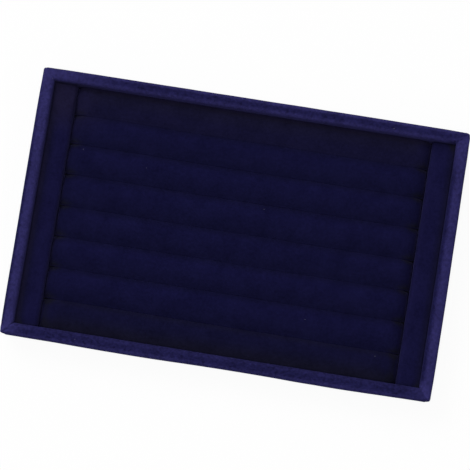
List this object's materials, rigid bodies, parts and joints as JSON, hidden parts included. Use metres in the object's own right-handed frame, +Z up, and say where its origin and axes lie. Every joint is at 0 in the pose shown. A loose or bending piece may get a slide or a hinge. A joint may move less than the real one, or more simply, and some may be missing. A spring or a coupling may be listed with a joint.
{
  "type": "jewelry tray",
  "caption": "Shallow rectangular ring tray: a mitred wooden frame wrapped in velvet round padded rolls, whose tight slits hold rings, between raised end bars.",
  "frame": {"origin": "middle of the underside, on the surface that the tray rests on", "axes": "+X along the rolls and the long rails, +Y to the rear rail, +Z up"},
  "size_m": [0.35, 0.22, 0.028],
  "materials": {
    "velvet": "matte",
    "felt": "matte",
    "foam": "matte",
    "softwood": "matte",
    "hardboard": "matte",
    "card": "matte",
    "brad_steel": "satin"
  },
  "bodies": {
    "root": {"front_rail_velvet": "velvet", "rear_rail_velvet": "velvet", "left_rail_velvet": "velvet", "right_rail_velvet": "velvet", "left_bar_velvet": "velvet", "right_bar_velvet": "velvet", "roll_1_velvet": "velvet", "roll_2_velvet": "velvet", "roll_3_velvet": "velvet", "roll_4_velvet": "velvet", "roll_5_velvet": "velvet", "roll_6_velvet": "velvet", "roll_7_velvet": "velvet", "roll_8_velvet": "velvet", "roll_1_foam": "foam", "roll_2_foam": "foam", "roll_3_foam": "foam", "roll_4_foam": "foam", "roll_5_foam": "foam", "roll_6_foam": "foam", "roll_7_foam": "foam", "roll_8_foam": "foam", "front_rail": "softwood", "rear_rail": "softwood", "left_rail": "softwood", "right_rail": "softwood", "left_bar_core": "softwood", "right_bar_core": "softwood", "base_board": "hardboard", "insert_board": "card", "underside_lining": "felt", "corner_brads": "brad_steel", "base_brads": "brad_steel"}
  },
  "joints": []
}
